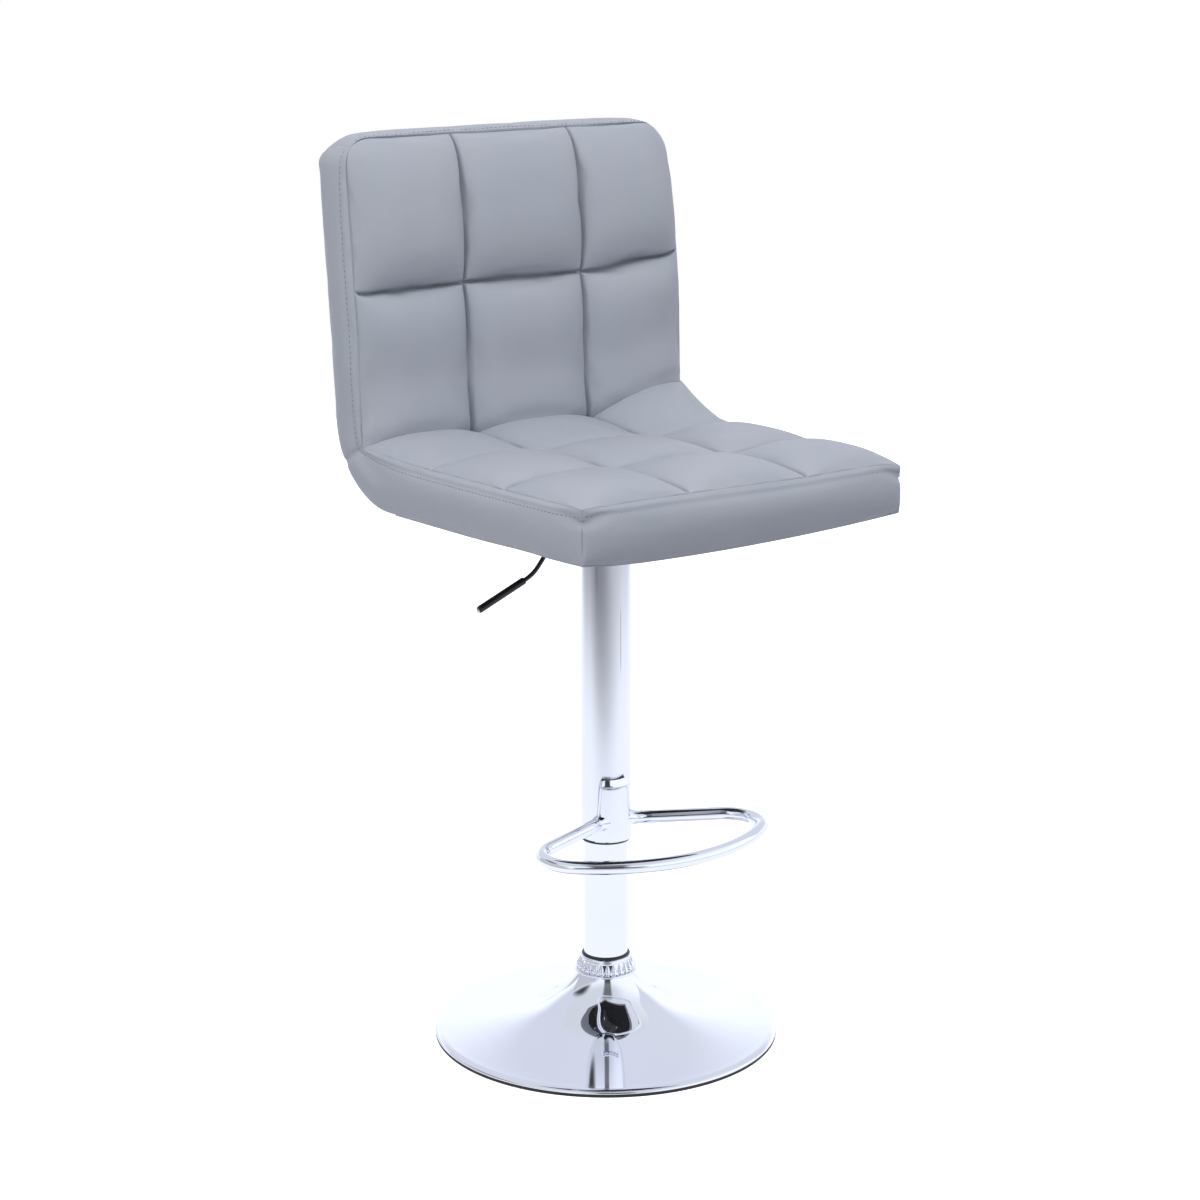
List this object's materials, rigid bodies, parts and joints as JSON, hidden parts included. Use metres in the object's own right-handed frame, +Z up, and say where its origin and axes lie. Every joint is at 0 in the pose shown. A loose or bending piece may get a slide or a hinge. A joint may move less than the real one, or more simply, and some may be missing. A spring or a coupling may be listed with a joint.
{
  "type": "swivel bar stool",
  "caption": "Swivel bar stool: tufted L-shaped seat and back on a gas-lift chrome column, with a D-shaped footrest, a release lever and a round trumpet base.",
  "frame": {"origin": "on the floor, on the column's axis", "axes": "+Z is up along the column; the sitter looks towards -Y and the back stands at +Y; the release lever points to -X, at the sitter's right hand"},
  "size_m": [0.436, 0.4587, 1.008],
  "materials": {
    "chrome": "mirror-bright chrome plate",
    "black_rubber": "matt black",
    "black_plastic": "satin black",
    "grey_plastic": "satin grey",
    "plain_steel": "plain pressed steel",
    "weight_iron": "rough cast",
    "bright_steel": "bright zinc plate",
    "brass": "plain machined brass",
    "black_steel": "black powder coat",
    "grip_vinyl": "soft black vinyl",
    "plywood": "bare bent plywood",
    "foam": "moulded foam",
    "grey_leatherette": "satin light grey leatherette",
    "black_cloth": "thin woven cloth"
  },
  "bodies": {
    "base": {"base_shell": "chrome", "floor_ring": "black_rubber", "bottom_plate": "black_steel", "weight_plate": "weight_iron", "hub_socket": "plain_steel", "stand_tube": "chrome", "collar": "chrome", "dust_ring": "black_plastic", "guide_bush": "grey_plastic", "tube_floor": "plain_steel", "lower_race": "bright_steel", "thrust_bearing": "brass"},
    "rod": {"upper_race": "bright_steel", "piston_rod": "bright_steel", "piston": "plain_steel", "piston_nut": "bright_steel", "rod_clip": "plain_steel"},
    "seat": {"gas_cylinder": "black_steel", "rod_guide": "black_plastic", "valve_body": "brass", "upper_tube": "chrome", "top_collet": "grey_plastic", "lower_bush": "black_plastic", "footrest_saddle": "chrome", "footrest_ring": "chrome", "seat_plate": "black_steel", "taper_socket": "plain_steel", "lever_bracket": "plain_steel", "lever_pin": "bright_steel", "plate_bolts": "bright_steel", "tee_nuts": "bright_steel", "ply_shell": "plywood", "foam_core": "foam", "seat_quilt": "grey_leatherette", "back_quilt": "grey_leatherette", "side_panel_left": "grey_leatherette", "side_panel_right": "grey_leatherette", "front_band": "grey_leatherette", "outer_cover": "grey_leatherette", "dust_cover": "black_cloth"},
    "lever": {"lever_rod": "black_steel", "lever_grip": "grip_vinyl"},
    "pin": {"release_pin": "bright_steel"}
  },
  "joints": [
    {"name": "swivel", "type": "hinge", "parent": "base", "child": "rod", "pos_m": [0, 0, 0], "axis": [0, 0, 1], "continuous": true},
    {"name": "lift", "type": "slide", "parent": "rod", "child": "seat", "axis": [0, 0, 1], "range_m": [-0.125, 0.085]},
    {"name": "lever_pivot", "type": "hinge", "parent": "seat", "child": "lever", "pos_m": [-0.034, 0, 0.6045], "axis": [0, 1, 0], "range_deg": [0, 5], "stiffness_Nm_per_rad": 3, "springref_deg": -11.46},
    {"name": "valve_travel", "type": "slide", "parent": "seat", "child": "pin", "axis": [0, 0, -1], "range_m": [0, 0.0028]}
  ],
  "couplings": [
    {"joint": "valve_travel", "follows": "lever_pivot", "m_per_rad": 0.031}
  ]
}
